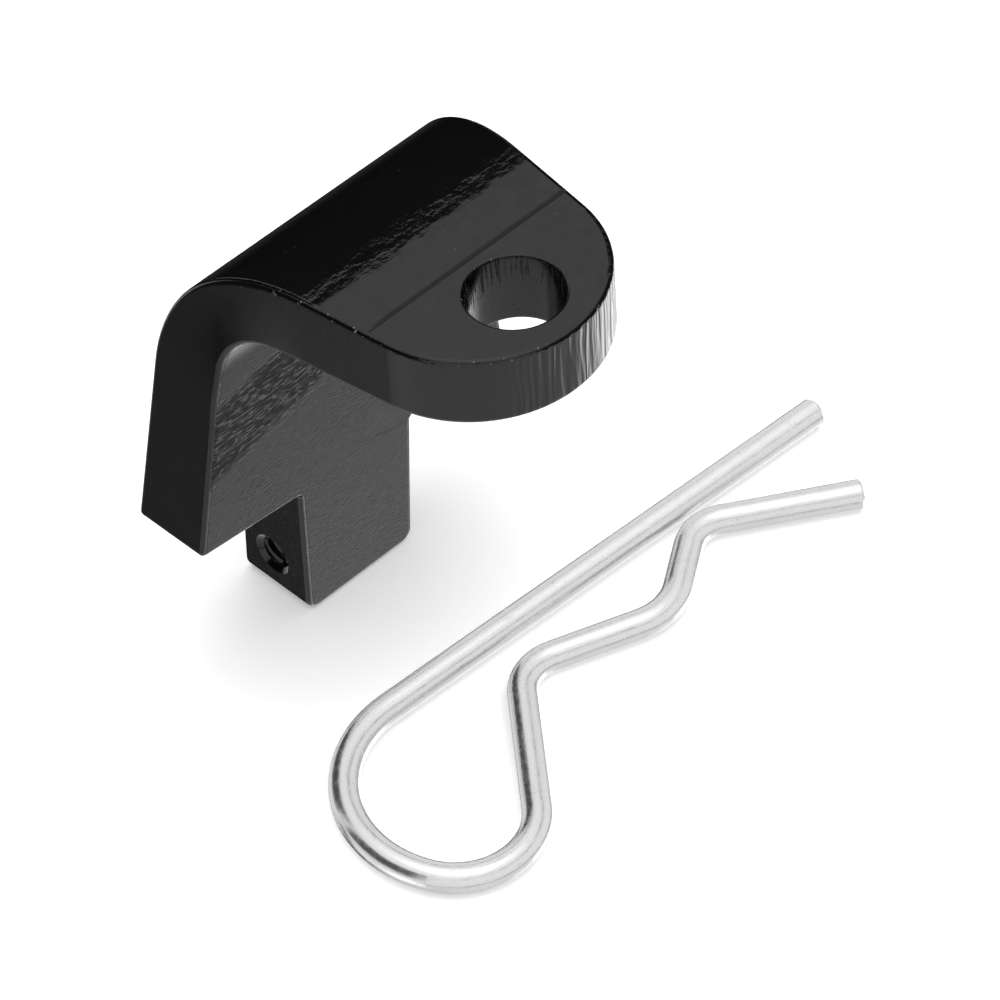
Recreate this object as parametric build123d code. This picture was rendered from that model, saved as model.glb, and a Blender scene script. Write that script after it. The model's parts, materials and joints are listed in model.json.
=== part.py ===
"""Gravity gate latch: a cast, bent latch body and its loose spring-wire hitch pin clip.

All lengths are millimetres. Both pieces are drawn in a working frame whose origin is the centre
of the tongue hole on the tongue's top face: +X runs toward the rounded tongue end, Y along the
bend, +Z up. They are then moved together so that the row's origin is the middle of its footprint.
"""
import os
from math import cos, radians, sin, tan

from build123d import *

# ---------------------------------------------------------------- latch body
hole_d = 13.0             # plain through hole in the tongue, for a half-inch pin
hole_edge_r = 0.4
tongue_end_r = 17.55      # radius of the rounded tongue end
tongue_end_x = -7.3       # centre of that radius
flank_deg = 7.7           # how far each tongue flank splays toward the bend
tongue_tip_t = 10.55      # tongue thickness at its tip
tongue_root_t = 11.2      # tongue thickness where the bend starts
bend_r = 25.0             # outer bend radius
bend_x = -18.8            # where the bend starts
leg_out_deg = 4.9         # outward lean of the leg's outer face
leg_in_deg = 3.4          # outward lean of the leg's inner face
leg_in_x = -32.0          # inner face of the leg where the bend ends
inner_r = 8.0             # inner bend radius
bend_end_half_w = 24.0    # half width where the bend ends
leg_flare = 0.153         # widening of the leg per side, per mm of leg
shoulder_drop = 50.6      # shoulder foot below the tongue's top face, at the outer corner
shoulder_rise = 1.7       # how much lower the foot is beside the lug
foot_drop = 76.6          # lug foot below the tongue's top face
lug_half_w = 9.8          # half width of the lug at its foot
lug_draft = 0.5           # extra half width of the lug at its root
lug_corner_r = 2.0        # lower corners of the lug
notch_r = 0.9             # inside corners between shoulders and lug
edge_r = 0.8              # rounded edges of the casting
cross_hole_up = 7.0       # threaded hole centre above the lug foot
cross_hole_x = -41.7      # threaded hole centre
thread_minor_d = 5.1      # minor diameter of a quarter-inch thread, 20 per inch
thread_mouth_d = 6.5      # countersunk mouths of the threaded hole
witness_d = 15.6          # round tool mark on the leg's inner face
witness_y, witness_drop = 8.2, 44.5
witness_depth = 0.12
crease_x = -8.55          # shallow set line across the tongue's top face
crease_w, crease_depth = 0.9, 0.02

# ---------------------------------------------------------------- hitch pin clip
wire_d = 4.2
start_x, start_y = -9.0, 64.0     # free end of the straight leg
heading_deg = -92.9               # direction from there toward the loop
straight_leg = 79.9
loop_turn_1, loop_r_1 = 119.0, 17.4
loop_turn_2, loop_r_2 = 114.3, 10.5
loop_exit = 20.3
pocket_turn_1, pocket_r_1 = 71.4, 6.7
pocket_flat = 13.2
pocket_turn_2, pocket_r_2 = 54.4, 9.2
pocket_ramp = 8.1
mouth_turn, mouth_r = 66.7, 6.0
mouth_leg = 20.0
wire_end_chamfer = 0.35


def sharp_edges(solid):
    """Edges where two faces meet at a real corner, leaving out the smooth joins."""
    found = []
    faces = solid.faces()
    for edge in solid.edges():
        pair = [face for face in faces if any(edge.is_same(other) for other in face.edges())]
        point = edge @ 0.5
        if len(pair) == 2 and pair[0].normal_at(point).get_angle(pair[1].normal_at(point)) > 20:
            found.append(edge)
    return found


def latch_body():
    lean = radians(leg_out_deg)
    turn = radians(90 - leg_out_deg)
    lean_in = tan(radians(leg_in_deg))
    taper = (tongue_root_t - tongue_tip_t) / (tongue_end_x + tongue_end_r - bend_x)

    # side profile: tongue, bend and leg
    arc_end = (bend_x - bend_r * sin(turn), -bend_r + bend_r * cos(turn))
    arc_mid = (bend_x - bend_r * sin(turn / 2), -bend_r + bend_r * cos(turn / 2))
    low = foot_drop + 8
    past_tip = 16.0
    under = lambda x: -tongue_root_t + taper * (x - bend_x)
    inside = lambda z: leg_in_x + lean_in * (z + bend_r)
    corner_x = inside(-13.1)
    corner = (corner_x, under(corner_x))
    with BuildSketch(Plane.XZ) as profile:
        with BuildLine():
            Line((past_tip, under(past_tip)), (past_tip, 0))
            Line((past_tip, 0), (bend_x, 0))
            ThreePointArc((bend_x, 0), arc_mid, arc_end)
            Line(arc_end, (arc_end[0] - tan(lean) * (low + arc_end[1]), -low))
            Line((arc_end[0] - tan(lean) * (low + arc_end[1]), -low), (inside(-low), -low))
            Line((inside(-low), -low), corner)
            Line(corner, (past_tip, under(past_tip)))
        make_face()
        fillet(profile.vertices().sort_by_distance((*corner, 0))[0], inner_r)
    slab = extrude(profile.sketch, 40, both=True)

    # tongue: rounded end, flanks splaying toward the bend
    f = radians(flank_deg)
    k0 = tan(f)
    touch_x = tongue_end_x + tongue_end_r * sin(f)
    touch_y = tongue_end_r * cos(f)
    root_half = touch_y + (touch_x - bend_x) * k0
    lead = 4.0
    join_x, join_half = bend_x + lead, root_half - lead * k0
    with BuildSketch(Plane.XY.offset(-30)) as plan:
        with BuildLine():
            Line((join_x, -join_half), (touch_x, -touch_y))
            ThreePointArc((touch_x, -touch_y), (tongue_end_x + tongue_end_r, 0), (touch_x, touch_y))
            Line((touch_x, touch_y), (join_x, join_half))
            Line((join_x, join_half), (join_x, -join_half))
        make_face()
    tongue = slab & extrude(plan.sketch, 40)

    # bend: the sides keep splaying smoothly round it
    def station(at, low_half, high_half):
        with BuildSketch(at) as s:
            with BuildLine():
                Polyline((-low_half, -12), (low_half, -12), (high_half, 12), (-high_half, 12), close=True)
            make_face()
        return s.sketch
    stations = []
    for d in (lead, lead / 2):
        h = root_half - d * k0
        stations.append(station(Plane(origin=(bend_x + d, 0, -bend_r + 16), x_dir=(0, 1, 0), z_dir=(-1, 0, 0)), h, h))
    steps = 8
    for k in range(steps + 1):
        t = turn * k / steps
        w = (k / steps) ** 2 * (3 - 2 * k / steps)
        halves = [
            (1 - w) * (root_half + k0 * r * sin(t)) + w * (bend_end_half_w - leg_flare * r * sin(turn - t))
            for r in (4, 28)
        ]
        middle = Vector(bend_x - 16 * sin(t), 0, -bend_r + 16 * cos(t))
        at = Plane(origin=middle, x_dir=(0, 1, 0), z_dir=(-cos(t), 0, -sin(t)))
        y = at.y_dir
        out = y.dot(middle - Vector(bend_x, 0, -bend_r)) > 0
        stations.append(station(at, *(halves if out else halves[::-1])))
    for d in (lead / 2, lead):
        h = bend_end_half_w + leg_flare * d
        middle = Vector(bend_x - 16 * sin(turn) - d * cos(turn), 0, -bend_r + 16 * cos(turn) - d * sin(turn))
        stations.append(station(Plane(origin=middle, x_dir=(0, 1, 0), z_dir=(-cos(turn), 0, -sin(turn))), h, h))
    bend = slab & loft(stations)

    # leg: sides flaring down to the shoulders
    across = Plane(
        origin=(bend_x, 0, -bend_r), x_dir=(0, 1, 0), z_dir=(-sin(turn), 0, cos(turn))
    )
    reach = foot_drop + 5
    foot_half = bend_end_half_w + leg_flare * reach
    with BuildSketch(across) as front:
        with BuildLine():
            Polyline(
                (-bend_end_half_w - leg_flare * lead, lead), (bend_end_half_w + leg_flare * lead, lead),
                (foot_half, reach), (-foot_half, reach),
                close=True,
            )
        make_face()
    leg = slab & extrude(front.sketch, 60, both=True)

    # feet of the shoulders and of the lug
    w = bend_end_half_w + leg_flare * (shoulder_drop - bend_r)
    root_w = lug_half_w + lug_draft
    rise = shoulder_rise / (w - root_w)
    root_z = -shoulder_drop - shoulder_rise
    with BuildSketch(Plane.YZ) as outline:
        with BuildLine():
            Polyline(
                (-45, 10), (45, 10), (45, -shoulder_drop + rise * (45 - w)), (root_w, root_z),
                (lug_half_w, -foot_drop), (-lug_half_w, -foot_drop), (-root_w, root_z),
                (-45, -shoulder_drop + rise * (45 - w)),
                close=True,
            )
        make_face()
        fillet([q for q in outline.vertices() if abs(q.Y + foot_drop) < 0.01], lug_corner_r)
        fillet([q for q in outline.vertices() if abs(q.Y - root_z) < 0.01], notch_r)
    body = (tongue + bend + leg) & extrude(outline.sketch, 60, both=True)
    body = fillet(sharp_edges(body), edge_r)

    # through hole in the tongue
    body -= Pos(0, 0, -10) * Cylinder(hole_d / 2, 40)
    rims = [
        e for e in body.edges()
        if e.geom_type in (GeomType.CIRCLE, GeomType.ELLIPSE)
        and Vector(e.center(CenterOf.MASS).X, e.center(CenterOf.MASS).Y).length < 0.5
        and e.length > 3 * hole_d
    ]
    body = fillet(rims, hole_edge_r)

    # threaded cross hole through the lug, countersunk at both mouths
    hole_z = -foot_drop + cross_hole_up
    face_y = lug_half_w + lug_draft * cross_hole_up / (foot_drop + root_z)
    sink = (thread_mouth_d - thread_minor_d) / 2
    at = Pos(cross_hole_x, 0, hole_z)
    body -= at * Rot(90, 0, 0) * Cylinder(thread_minor_d / 2, 60)
    for side in (1, -1):
        cone = Cone(thread_minor_d / 2 - 0.2, thread_mouth_d / 2 + 0.5, sink + 0.7)
        body -= at * Pos(0, side * (face_y - sink - 0.2 + (sink + 0.7) / 2), 0) * Rot(-90 * side, 0, 0) * cone

    # shallow set line across the tongue
    groove_r = crease_w ** 2 / (8 * crease_depth) + crease_depth / 2
    body -= Pos(crease_x, 0, groove_r - crease_depth) * Rot(90, 0, 0) * Cylinder(groove_r, 60)

    # round tool mark, very shallow, on the leg's inner face
    tilt = Plane(
        origin=(inside(-witness_drop), witness_y, -witness_drop),
        x_dir=(0, 1, 0),
        z_dir=(cos(radians(leg_in_deg)), 0, -sin(radians(leg_in_deg))),
    )
    body -= tilt * Cylinder(witness_d / 2, 2 * witness_depth)
    return body


def hitch_pin_clip():
    steps = (
        (straight_leg, loop_r_1, loop_turn_1),
        (0, loop_r_2, loop_turn_2),
        (loop_exit, pocket_r_1, -pocket_turn_1),
        (pocket_flat, pocket_r_2, pocket_turn_2),
        (pocket_ramp, mouth_r, -mouth_turn),
        (mouth_leg, 0, 0),
    )
    with BuildLine() as axis:
        here = Vector(start_x, start_y)
        heading = heading_deg
        for length, radius, angle in steps:
            if length:
                there = here + Vector(length, 0).rotate(Axis.Z, heading)
                Line(here, there)
                here = there
            if radius:
                bend = JernArc(here, Vector(1, 0).rotate(Axis.Z, heading), radius, angle)
                here = bend @ 1
                heading += angle
    path = axis.wire()
    section = Plane(origin=path @ 0, z_dir=path % 0) * Circle(wire_d / 2)
    wire = sweep(section, path=path)
    ends = [
        e for e in wire.edges()
        if min((e.center(CenterOf.MASS) - path @ k).length for k in (0, 1)) < 0.1
    ]
    wire = chamfer(ends, wire_end_chamfer)
    return Pos(0, 0, -foot_drop + wire_d / 2) * wire


def main():
    latch = latch_body()
    clip = hitch_pin_clip()
    box = Compound([latch, clip]).bounding_box(optimal=True)
    middle = box.center()
    shift = Pos(-middle.X, -middle.Y, -box.min.Z)
    latch, clip = shift * latch, shift * clip
    latch.label, clip.label = "latch_body", "hitch_pin_clip"
    os.makedirs("parts", exist_ok=True)
    export_step(latch, "parts/latch_body.step")
    export_step(clip, "parts/hitch_pin_clip.step")
    print("row origin in the working frame:", round(middle.X, 4), round(middle.Y, 4), round(box.min.Z, 4))
    for piece in (latch, clip):
        print(piece.label, len(piece.solids()), round(piece.volume, 1), piece.bounding_box())


if __name__ == "__main__":
    main()
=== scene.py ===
import json
import math

import bpy
from mathutils import Matrix, Vector


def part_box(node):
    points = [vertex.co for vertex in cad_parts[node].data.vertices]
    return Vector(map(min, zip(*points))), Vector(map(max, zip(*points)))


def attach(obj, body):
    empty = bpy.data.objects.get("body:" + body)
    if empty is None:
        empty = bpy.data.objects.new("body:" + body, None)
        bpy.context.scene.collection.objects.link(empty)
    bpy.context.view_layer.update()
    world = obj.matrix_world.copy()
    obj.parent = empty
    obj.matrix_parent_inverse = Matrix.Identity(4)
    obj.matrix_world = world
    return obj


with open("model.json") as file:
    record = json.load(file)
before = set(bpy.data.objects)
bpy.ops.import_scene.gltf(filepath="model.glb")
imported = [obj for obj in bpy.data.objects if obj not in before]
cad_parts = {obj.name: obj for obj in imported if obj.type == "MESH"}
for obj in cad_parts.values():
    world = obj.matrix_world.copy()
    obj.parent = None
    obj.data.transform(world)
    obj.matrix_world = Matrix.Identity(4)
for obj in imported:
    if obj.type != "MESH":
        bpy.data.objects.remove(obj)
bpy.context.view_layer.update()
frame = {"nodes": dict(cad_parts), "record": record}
latch = frame["nodes"]["latch_body"]
clip = frame["nodes"]["hitch_pin_clip"]

MM = 0.001
mounts = {m["name"]: m for m in frame["record"]["mounts"]}
top_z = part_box("latch_body")[1][2]
hole_at = mounts["tongue_hole"]["pos_m"]
thread_at = Vector(mounts["pivot_thread"]["pos_m"])
thread_len = mounts["pivot_thread"]["dims"]["length_mm"] * MM
HOLE = Vector((hole_at[0], hole_at[1], top_z))      # tongue hole centre on the top face

# Sizes of the latch body, in millimetres from HOLE: +X to the tongue's tip, +Z up.
TIP_R = 17.55               # rounded tongue end
TIP_X = -7.3                # its centre
HOLE_R = mounts["tongue_hole"]["dims"]["r_mm"]
ROLL_X = -16.4              # where the top face starts to roll over toward the bend
CREASE_X = -8.55            # set line across the tongue's top face
UNDERSIDE = -13.0           # just below the tongue's underside

# Relief of the coat: how high each kind of mark is where it is strongest, in millimetres.
PEEL, SWELL = 0.0035, 0.020
DRAG, FOLD, LEATHER = 0.016, 0.27, 0.060
SCALLOP, SCRATCH = 0.75, 0.012
TEAR, PIT, NICK = 0.07, 0.05, 0.05
ROLL_SLOPE, ROLL_RUN = 0.12, 7.0            # how steeply the top rolls over, and for how far
ROLL_WANDER = 0.7                           # how far the edge of that roll wanders

# Colours of the coat.
COAT_DARK, COAT_LIGHT = (0.0030, 0.0030, 0.0032), (0.0046, 0.0046, 0.0048)
PIT_TONE = (0.0008, 0.0008, 0.0008)
DUST_TONE, CHIP_TONE = (0.16, 0.16, 0.16), (0.22, 0.22, 0.21)


# ------------------------------------------------------------------ node helpers
class Mat:
    """A small builder for procedural node materials, in millimetres from HOLE."""

    def __init__(self, name):
        self.mat = bpy.data.materials.new(name)
        self.mat.use_nodes = True
        self.nt = self.mat.node_tree
        self.bsdf = self.nt.nodes["Principled BSDF"]
        coord = self.new("TexCoord")
        shift = self.new("VectorMath", operation="SUBTRACT")
        self.put(shift.inputs[0], coord.outputs["Object"])
        shift.inputs[1].default_value = HOLE
        grow = self.new("VectorMath", operation="SCALE")
        self.put(grow.inputs[0], shift.outputs[0])
        grow.inputs["Scale"].default_value = 1 / MM
        self.p = grow.outputs[0]
        self.x, self.y, self.z = self.split(self.p)
        self.nx, self.ny, self.nz = self.split(coord.outputs["Normal"])

    def new(self, kind, **props):
        """A shader node of this kind, with its properties set."""
        node = self.nt.nodes.new("ShaderNode" + kind)
        for key, value in props.items():
            setattr(node, key, value)
        return node

    def put(self, socket, value):
        """Link a socket, or set it to a constant."""
        if isinstance(value, bpy.types.NodeSocket):
            self.nt.links.new(value, socket)
        else:
            socket.default_value = value

    def set(self, **inputs):
        """Inputs of the surface shader, with _ for each space in their names."""
        for key, value in inputs.items():
            self.put(self.bsdf.inputs[key.replace("_", " ")], value)

    def split(self, vector):
        node = self.new("SeparateXYZ")
        self.put(node.inputs[0], vector)
        return node.outputs

    def join(self, x, y, z):
        node = self.new("CombineXYZ")
        for k, v in enumerate((x, y, z)):
            self.put(node.inputs[k], v)
        return node.outputs[0]

    def stretch(self, sx, sy, sz, turn=(0, 0, 0)):
        node = self.new("Mapping")
        self.put(node.inputs["Vector"], self.p)
        node.inputs["Rotation"].default_value = turn
        node.inputs["Scale"].default_value = (sx, sy, sz)
        return node.outputs["Vector"]

    def noise(self, vector, scale=1.0, detail=2.0, rough=0.5, distortion=0.0):
        node = self.new("TexNoise")
        self.put(node.inputs["Vector"], vector)
        node.inputs["Scale"].default_value = scale
        node.inputs["Detail"].default_value = detail
        node.inputs["Roughness"].default_value = rough
        node.inputs["Distortion"].default_value = distortion
        return node.outputs["Fac"]

    def cells(self, vector, scale):
        node = self.new("TexVoronoi")
        self.put(node.inputs["Vector"], vector)
        node.inputs["Scale"].default_value = scale
        return node.outputs["Distance"]

    def math(self, op, a, b=0.0, c=0.0):
        node = self.new("Math", operation=op)
        for k, v in enumerate((a, b, c)):
            self.put(node.inputs[k], v)
        return node.outputs[0]

    def mul(self, a, b):
        return self.math("MULTIPLY", a, b)

    def add(self, a, b):
        return self.math("ADD", a, b)

    def sub(self, a, b):
        return self.math("SUBTRACT", a, b)

    def absolute(self, a):
        return self.math("ABSOLUTE", a)

    def larger(self, a, b):
        return self.math("MAXIMUM", a, b)

    def span(self, value, lo, hi, out_lo=0.0, out_hi=1.0, smooth=True):
        """out_lo at lo, running to out_hi at hi, and held beyond them."""
        node = self.new("MapRange", interpolation_type="SMOOTHSTEP" if smooth else "LINEAR")
        self.put(node.inputs["Value"], value)
        for key, v in (("From Min", lo), ("From Max", hi), ("To Min", out_lo), ("To Max", out_hi)):
            self.put(node.inputs[key], v)
        return node.outputs["Result"]

    def band(self, value, lo, hi, soft):
        """1 between lo and hi, fading to 0 over soft on either side."""
        rise = self.span(value, lo - soft, lo)
        return self.mul(rise, self.span(value, hi, hi + soft, 1.0, 0.0))

    def mix(self, fac, a, b):
        node = self.new("Mix", data_type="RGBA")
        self.put(node.inputs[0], fac)
        for k, v in ((6, a), (7, b)):
            self.put(node.inputs[k], v if isinstance(v, bpy.types.NodeSocket) else (*v, 1.0))
        return node.outputs[2]

    def relief(self, *heights):
        """Bump from heights in millimetres, added up."""
        total = heights[0]
        for h in heights[1:]:
            total = self.add(total, h)
        node = self.new("Bump")
        node.inputs["Strength"].default_value = 1.0
        node.inputs["Distance"].default_value = MM
        self.put(node.inputs["Height"], total)
        self.set(Normal=node.outputs["Normal"])


# ------------------------------------------------------------------ black coat of the latch body
def coat_over_top(m):
    """The flat top rolls over toward the bend a little before the bend itself, with a ragged edge."""
    ragged = m.noise(m.stretch(0.60, 0.34, 0.3), 1.0, 3.0, 0.55)
    ragged = m.span(ragged, 0.25, 0.75, -ROLL_WANDER, ROLL_WANDER, False)
    ragged = m.mul(ragged, m.span(m.x, -22.0, -18.0, 0.10, 1.0))
    past = m.sub(m.add(ragged, ROLL_X), m.x)
    roll = m.math("SMOOTH_MIN", m.math("SMOOTH_MAX", past, 0.0, 1.0), ROLL_RUN, 4.0)
    off_flank = m.span(m.absolute(m.ny), 0.25, 0.60, 1.0, 0.0)
    roll = m.mul(m.mul(roll, -ROLL_SLOPE), off_flank)

    crown = m.mul(m.span(m.nz, 0.0, 0.3), off_flank)
    drag = m.noise(m.stretch(2.6, 0.30, 1.0, (0, 0, 0.10)), 1.0, 3.0, 0.6)
    drag = m.mul(m.mul(drag, DRAG), m.mul(m.span(m.x, -11.0, -16.0), crown))
    return roll, drag


def leg_wrinkles(m):
    """Slanting folds on the leg's inner face, just below the bend, and leather grain all over it."""
    leg_face = m.mul(m.span(m.nx, 0.85, 0.97), m.span(m.z, -14.0, -18.0))
    lean = m.add(m.z, m.mul(m.y, -0.28))                           # the wrinkled zone is slanted
    wrinkled = m.mul(leg_face, m.band(lean, -29.5, -19.8, 3.5))
    wrinkled = m.mul(wrinkled, m.span(m.y, 6.0, -6.0, 0.25, 1.0))
    slant = m.stretch(1.0, 0.42, 1.5, (math.radians(-38), 0, 0))
    folds = m.noise(slant, 1.45, 3.0, 0.6, 0.3)
    fine = m.noise(slant, 2.4, 2.0, 0.5)
    fold_relief = m.mul(m.mul(m.add(folds, -0.5), FOLD), wrinkled)
    leather = m.mul(m.mul(fine, LEATHER), m.span(leg_face, 0.0, 1.0))
    dull = m.mul(wrinkled, m.span(folds, 0.64, 0.46))
    return fold_relief, leather, dull


def ground_end(m, in_hole):
    """Hand-ground tongue end: shallow upright scallops, wandering a little, and fine scratches."""
    around = m.mul(m.math("ARCTAN2", m.y, m.sub(m.x, TIP_X)), TIP_R)      # mm along the rounded end
    side_wall = m.span(m.absolute(m.nz), 0.5, 0.2)
    tip = m.mul(m.mul(m.span(m.x, -4.0, 0.0), side_wall), m.span(m.z, UNDERSIDE, UNDERSIDE + 1.0))
    tip = m.mul(tip, m.sub(1.0, in_hole))

    wander = m.noise(m.join(m.mul(around, 0.25), 0.0, m.mul(m.z, 0.10)), 1.0, 1.0, 0.5)
    strokes = m.join(m.add(around, m.mul(wander, 1.8)), 0.0, m.mul(m.z, 0.07))
    ridge = m.absolute(m.sub(m.noise(strokes, 0.60, 1.2, 0.5), 0.5))
    scallops = m.mul(m.mul(ridge, -SCALLOP), m.mul(tip, m.span(around, -11.0, -8.0)))
    scratch = m.noise(m.join(m.mul(around, 2.6), 0.0, m.mul(m.z, 0.25)), 1.0, 2.0, 0.6)
    return scallops, m.mul(m.mul(scratch, SCRATCH), tip)


def hole_marks(m, in_hole):
    """Upright tears in the drilled hole, deepest near its upper edge, and small pits."""
    turn = m.mul(m.math("ARCTAN2", m.y, m.x), HOLE_R)              # mm round the hole
    tears = m.noise(m.join(m.mul(turn, 3.0), 0.0, m.mul(m.z, 0.18)), 1.0, 2.0, 0.6)
    tears = m.span(tears, 0.56, 0.66)
    tears = m.mul(tears, m.mul(in_hole, m.span(m.z, -7.5, -2.0, 0.05, 1.0)))
    far_side = m.sub(1.0, m.band(turn, 8.0, 16.0, 3.0))
    tears = m.mul(tears, m.span(far_side, 0.0, 1.0, 0.45, 1.0))
    pits = m.mul(m.span(m.cells(m.p, 1.5), 0.16, 0.09), in_hole)
    return tears, pits


def set_line_on_top(m):
    """The dull line across the tongue's top face, fading out near the near rim."""
    on_top = m.span(m.nz, 0.80, 0.97)
    line = m.mul(m.band(m.absolute(m.add(m.x, -CREASE_X)), -1.0, 0.12, 0.34), on_top)
    patchy = m.span(m.noise(m.p, 0.5), 0.2, 0.6, 0.7, 1.0)
    return m.mul(line, m.mul(m.span(m.y, -17.0, -14.5), patchy))


def black_coat():
    m = Mat("black_coat")
    sideways = m.larger(m.absolute(m.ny), m.nx)
    rim = m.mul(m.band(m.nz, 0.25, 0.90, 0.08), m.span(m.z, -1.6, -1.2))
    rim = m.mul(rim, m.span(sideways, 0.2, 0.4))
    radius = m.math("SQRT", m.add(m.mul(m.x, m.x), m.mul(m.y, m.y)))
    in_hole = m.span(radius, HOLE_R + 0.25, HOLE_R + 0.05)
    in_hole = m.mul(in_hole, m.span(m.z, UNDERSIDE - 1.0, UNDERSIDE))

    # very fine peel, and soft low swells from the casting underneath
    peel = m.mul(m.noise(m.p, 3.2, 2.0, 0.55), PEEL)
    swell = m.mul(m.noise(m.p, 0.35, 2.0, 0.5), SWELL)
    roll, drag = coat_over_top(m)
    folds, leather, dull = leg_wrinkles(m)
    scallops, scratch = ground_end(m, in_hole)
    tears, pits = hole_marks(m, in_hole)
    hole_relief = m.add(m.mul(tears, -TEAR), m.mul(pits, -PIT))
    nick = m.mul(m.mul(m.noise(m.p, 1.3, 3.0, 0.6), NICK), rim)
    m.relief(peel, swell, roll, drag, folds, leather, scallops, scratch, hole_relief, nick)

    # coat pulled thin on the sharp rims: tiny chips, and a little dust
    chips = m.mul(m.span(m.noise(m.p, 1.7, 2.0, 0.6), 0.665, 0.70), rim)
    dust = m.span(m.cells(m.p, 0.55), 0.055, 0.030)
    dust = m.mul(dust, m.span(m.noise(m.p, 0.21), 0.5, 0.6))
    marks = m.larger(tears, pits)
    tone = m.mix(m.noise(m.p, 0.15, 3.0), COAT_DARK, COAT_LIGHT)
    tone = m.mix(marks, tone, PIT_TONE)
    tone = m.mix(m.mul(dust, 0.55), tone, DUST_TONE)
    tone = m.mix(m.mul(chips, 0.7), tone, CHIP_TONE)

    rough = m.span(m.noise(m.p, 0.5, 3.0), 0.3, 0.7, 0.11, 0.16)
    for where, extra in ((marks, 0.5), (dull, 0.62), (in_hole, 0.06), (set_line_on_top(m), 0.55)):
        rough = m.add(rough, m.mul(where, extra))
    m.set(Base_Color=tone, Roughness=m.math("MINIMUM", rough, 0.9), IOR=1.5)
    return m.mat


# ------------------------------------------------------------------ zinc of the wire
def zinc():
    m = Mat("zinc_wire")
    wire_r = mounts["clip_leg"]["dims"]["r_mm"]
    centre_z = wire_r - top_z / MM
    fibre = m.math("ARCSINE", m.math("DIVIDE", m.sub(m.z, centre_z), wire_r))
    fibre = m.mul(fibre, wire_r)                                   # mm round the wire
    along = m.join(m.mul(m.x, 0.10), m.mul(m.y, 0.10), m.mul(fibre, 2.6))
    draws = m.noise(along, 1.0, 3.0, 0.65)
    fine = m.noise(along, 3.0, 2.0, 0.6)
    mottle = m.noise(m.p, 0.9, 3.0, 0.6)
    grain = m.noise(m.p, 6.5, 1.0, 0.5)
    scuff = m.noise(m.join(m.mul(m.x, 0.5), m.mul(m.y, 0.5), m.mul(fibre, 1.4)), 1.0, 3.0, 0.65)
    stain = m.mul(m.span(scuff, 0.60, 0.70), m.span(grain, 0.35, 0.65))
    speck = m.span(m.cells(m.p, 0.9), 0.085, 0.04)

    tone = m.mix(mottle, (0.74, 0.74, 0.75), (0.85, 0.85, 0.85))
    tone = m.mix(m.mul(m.span(draws, 0.55, 0.75), 0.35), tone, (0.66, 0.66, 0.66))
    tone = m.mix(m.mul(stain, 0.45), tone, (0.50, 0.50, 0.50))
    tone = m.mix(m.mul(speck, 0.5), tone, (0.25, 0.25, 0.24))
    rough = m.add(m.span(mottle, 0.3, 0.7, 0.19, 0.28), m.mul(stain, 0.20))
    m.set(Base_Color=tone, Roughness=rough, Metallic=0.92)
    m.relief(m.mul(draws, 0.020), m.mul(fine, 0.004), m.mul(grain, 0.003), m.mul(mottle, 0.005))
    return m.mat


coat = black_coat()
for node, material in ((latch, coat), (clip, zinc())):
    node.data.materials.clear()
    node.data.materials.append(material)


# ------------------------------------------------------------------ screw thread in the lug
def lug_thread():
    """The ridge of a quarter-inch thread, 20 turns per inch, standing out of the hole's wall."""
    pitch = 25.4 / 20 * MM
    wall, crest = 2.62 * MM, 2.22 * MM
    half_root, half_crest = 0.4508 * pitch, 0.098 * pitch
    per_turn = 48
    steps = int(thread_len / pitch * per_turn)
    points, faces = [], []
    for k in range(steps + 1):
        a = 2 * math.pi * k / per_turn
        y = thread_at.y - thread_len / 2 + pitch * k / per_turn
        fade = min(1.0, k / per_turn, (steps - k) / per_turn)      # runs out at both mouths
        inner = wall + (crest - wall) * fade
        for r, dy in ((wall, -half_root), (inner, -half_crest), (inner, half_crest), (wall, half_root)):
            points.append((thread_at.x + r * math.cos(a), y + dy, thread_at.z + r * math.sin(a)))
    for k in range(steps):
        a, b = 4 * k, 4 * k + 4
        for j in range(4):
            faces.append((a + j, a + (j + 1) % 4, b + (j + 1) % 4, b + j))
    faces += [(3, 2, 1, 0), tuple(4 * steps + j for j in range(4))]
    mesh = bpy.data.meshes.new("lug_thread")
    mesh.from_pydata(points, [], faces)
    mesh.validate()
    mesh.update()
    mesh.materials.append(coat)
    piece = bpy.data.objects.new("lug_thread", mesh)
    bpy.context.collection.objects.link(piece)
    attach(piece, "latch")


lug_thread()


# ------------------------------------------------------------------ floor
def pale_floor():
    """Plain pale paper that glows a little, so that the shadows on it stay light."""
    bpy.ops.mesh.primitive_plane_add(size=6, location=(0, 0, -0.2 * MM))
    floor = bpy.context.object
    floor.name = "floor"
    floor.visible_glossy = False
    paper = Mat("floor_paper")
    paper.set(Base_Color=(0.90, 0.90, 0.90, 1), Roughness=0.9, Specular_IOR_Level=0.0)
    paper.set(Emission_Color=(1, 1, 1, 1), Emission_Strength=0.34)
    floor.data.materials.append(paper.mat)


pale_floor()

# ------------------------------------------------------------------ soft panels, seen in reflections alone
DARK = ((165, 208), (220, 276))            # degrees round from +X: two dark stretches of wall
PANELS = 6                                 # side by side in the long bright stretch
PANEL_WIDE = (360 + DARK[0][0] - DARK[1][1]) / PANELS          # degrees
SHARED = (0, 1)                            # these two light the latch body's rounded rim too
PANEL_AT = 0.60                            # metres out from the wire
PANEL_LOW, PANEL_TOP = -0.17, 0.46
PANEL_BRIGHT, UNDER_BRIGHT = 0.84, 0.80


def only(node, name):
    """A collection that holds one node, for light linking."""
    group = bpy.data.collections.new(name)
    bpy.context.scene.collection.children.link(group)
    group.objects.link(node)
    return group


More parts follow.
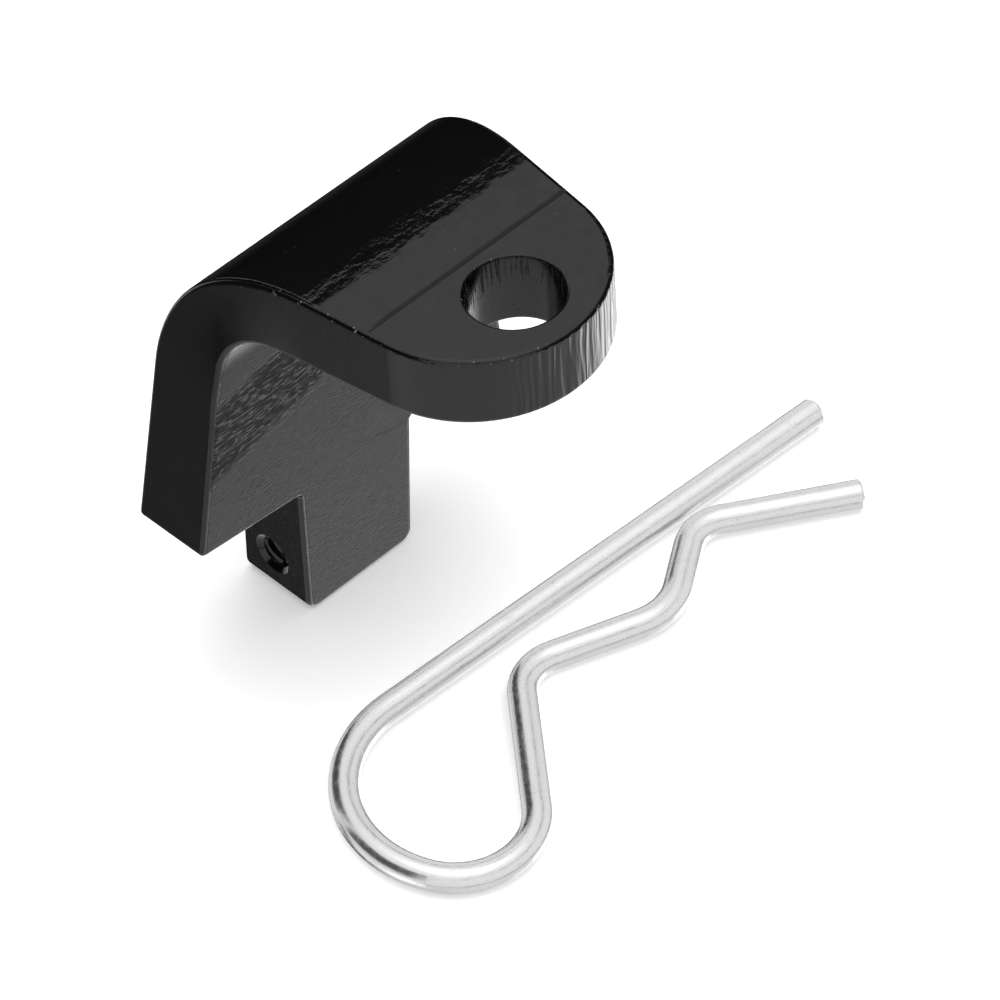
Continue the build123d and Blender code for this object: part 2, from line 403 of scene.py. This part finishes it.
only_clip = only(clip, "lit_by_panels")
only_latch = only(latch, "lit_from_behind")
latch.visible_glossy = False               # the wire mirrors the panels and not the latch body
lo, hi = (Vector(c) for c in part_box("hitch_pin_clip"))
clip_middle = (lo + hi) / 2


def wall(name, degrees, wide, low_z, high_z, brightness, seen_by=only_clip):
    """An upright panel round the wire, lighting one collection alone, or everything if that is None."""
    turn = math.radians(degrees)
    outward = Vector((math.cos(turn), math.sin(turn), 0))
    width, height = 2 * PANEL_AT * math.tan(math.radians(wide / 2)), high_z - low_z
    light = bpy.data.lights.new(name, "AREA")
    light.shape = "RECTANGLE"
    light.size, light.size_y = width, height
    light.energy = brightness * math.pi * width * height
    obj = bpy.data.objects.new(name, light)
    bpy.context.collection.objects.link(obj)
    obj.location = clip_middle + outward * PANEL_AT
    obj.location.z = (low_z + high_z) / 2
    obj.rotation_euler = (-outward).to_track_quat("-Z", "Y").to_euler()
    obj.visible_camera = False
    obj.visible_diffuse = False
    obj.light_linking.blocker_collection = only_clip           # the latch body casts no shadow here
    if seen_by:
        obj.light_linking.receiver_collection = seen_by


for k in range(PANELS):
    seen_by = None if k in SHARED else only_clip
    degrees = DARK[1][1] + PANEL_WIDE * (k + 0.5)
    wall("panel_%d" % k, degrees, PANEL_WIDE, PANEL_LOW, PANEL_TOP, PANEL_BRIGHT, seen_by)
strip_from, strip_to = DARK[0][1], DARK[1][0]
wall("panel_strip", (strip_from + strip_to) / 2, strip_to - strip_from, PANEL_LOW, PANEL_TOP, PANEL_BRIGHT)
for k, (start, end) in enumerate(DARK):
    wall("panel_low_%d" % k, (start + end) / 2, end - start, -0.60, -0.03, UNDER_BRIGHT)
# behind the leg, for the latch body alone
wall("panel_behind", 184, 34, -0.40, 0.55, 0.80, only_latch)


def hole_painted_shade():
    """A black sleeve in the tongue's hole, seen by reflections alone: painted shade, so that the hole's
    wall reflects black in place of its own far side.
    """
    bpy.ops.mesh.primitive_cylinder_add(
        vertices=64, radius=(HOLE_R + 0.05) * MM, depth=11 * MM, end_fill_type="NOTHING",
        location=HOLE - Vector((0, 0, 5.6 * MM)))
    sleeve = bpy.context.object
    sleeve.name = "hole_painted_shade"
    # painted shade: a matte black seen only in the hole wall's reflections
    black = Mat("painted_shade_black")
    black.set(Base_Color=(0.0, 0.0, 0.0, 1), Roughness=0.9, Specular_IOR_Level=0.0)
    sleeve.data.materials.append(black.mat)
    for ray in ("camera", "diffuse", "transmission", "volume_scatter", "shadow"):
        setattr(sleeve, "visible_" + ray, False)


hole_painted_shade()


# ------------------------------------------------------------------ studio surroundings
def studio_world():
    """Soft box overhead, dark room on the left, bright table on the right, by direction alone."""
    world = bpy.data.worlds.new("studio")
    bpy.context.scene.world = world
    world.use_nodes = True
    tree = world.node_tree
    background = tree.nodes["Background"]

    def put(socket, value):
        if isinstance(value, bpy.types.NodeSocket):
            tree.links.new(value, socket)
        else:
            socket.default_value = value

    def calc(op, a, b):
        node = tree.nodes.new("ShaderNodeMath")
        node.operation = op
        put(node.inputs[0], a)
        put(node.inputs[1], b)
        return node.outputs[0]

    def span(value, lo, hi, a, b):
        node = tree.nodes.new("ShaderNodeMapRange")
        node.interpolation_type = "SMOOTHSTEP"
        put(node.inputs["Value"], value)
        for key, v in (("From Min", lo), ("From Max", hi), ("To Min", a), ("To Max", b)):
            put(node.inputs[key], v)
        return node.outputs["Result"]

    direction = tree.nodes.new("ShaderNodeTexCoord")
    split = tree.nodes.new("ShaderNodeSeparateXYZ")
    put(split.inputs[0], direction.outputs["Generated"])
    x, y, z = split.outputs

    soft_box = span(z, 0.630, 0.655, 0.0, 0.94)
    soft_box = calc("ADD", soft_box, span(z, 0.84, 0.94, 0.0, 0.45))       # its brighter middle
    tilted = calc("SUBTRACT", x, calc("MULTIPLY", calc("ADD", z, 0.70), 0.35))
    low = calc("ADD", span(tilted, -0.54, -0.24, 0.03, 0.68), span(x, -0.2, 0.8, 0.0, 0.15))
    bounce = calc("MULTIPLY", span(y, -0.36, -0.46, 0.0, 1.0), span(x, -0.43, -0.50, 0.0, 1.0))
    bounce = calc("MULTIPLY", bounce, span(z, -0.60, -0.68, 0.12, 0.24))
    under = calc("MULTIPLY", span(z, -0.785, -0.84, 0.0, 0.45), span(y, 0.20, 0.40, 0.0, 1.0))
    back_light = calc("MULTIPLY", span(y, 0.46, 0.74, 0.0, 1.9), span(z, -0.45, -0.65, 0.0, 1.0))
    for part in (bounce, under, back_light):
        low = calc("ADD", low, part)
    table = span(z, -0.46, -0.26, 1.0, 0.06)                       # dark room between table and soft box
    put(background.inputs["Strength"], calc("ADD", soft_box, calc("MULTIPLY", table, low)))
    background.inputs["Color"].default_value = (1, 1, 1, 1)


studio_world()


def floor_fill():
    """Soft fill from straight above, for the floor."""
    light = bpy.data.lights.new("fill", "AREA")
    light.shape = "DISK"
    light.size = 1.6
    light.energy = 14.0
    fill = bpy.data.objects.new("fill", light)
    fill.location = (0.2, 0.1, 1.4)
    fill.visible_glossy = False
    bpy.context.collection.objects.link(fill)


floor_fill()
bpy.context.scene.view_settings.view_transform = "Standard"


# ------------------------------------------------------------------ camera
def camera():
    """A long lens, aimed by turn, height and roll in degrees, and set back from the tongue's hole."""
    turn, height, roll = map(math.radians, (48.097, 46.009, -4.078))
    set_back, to_left, below = 0.617969, 0.001821, 0.025753
    back = Vector((math.sin(turn) * math.cos(height), -math.cos(turn) * math.cos(height), math.sin(height)))
    level = Vector((math.cos(turn), math.sin(turn), 0))
    upright = back.cross(level)
    right = level * math.cos(roll) + upright * math.sin(roll)
    up = upright * math.cos(roll) - level * math.sin(roll)
    data = bpy.data.cameras.new("camera")
    data.sensor_width = 36
    data.lens = 180
    data.clip_start, data.clip_end = 0.01, 20
    cam = bpy.data.objects.new("camera", data)
    bpy.context.collection.objects.link(cam)
    place = HOLE + back * set_back - right * to_left - up * below
    cam.matrix_world = Matrix.Translation(place) @ Matrix((right, up, back)).transposed().to_4x4()
    bpy.context.scene.camera = cam


camera()
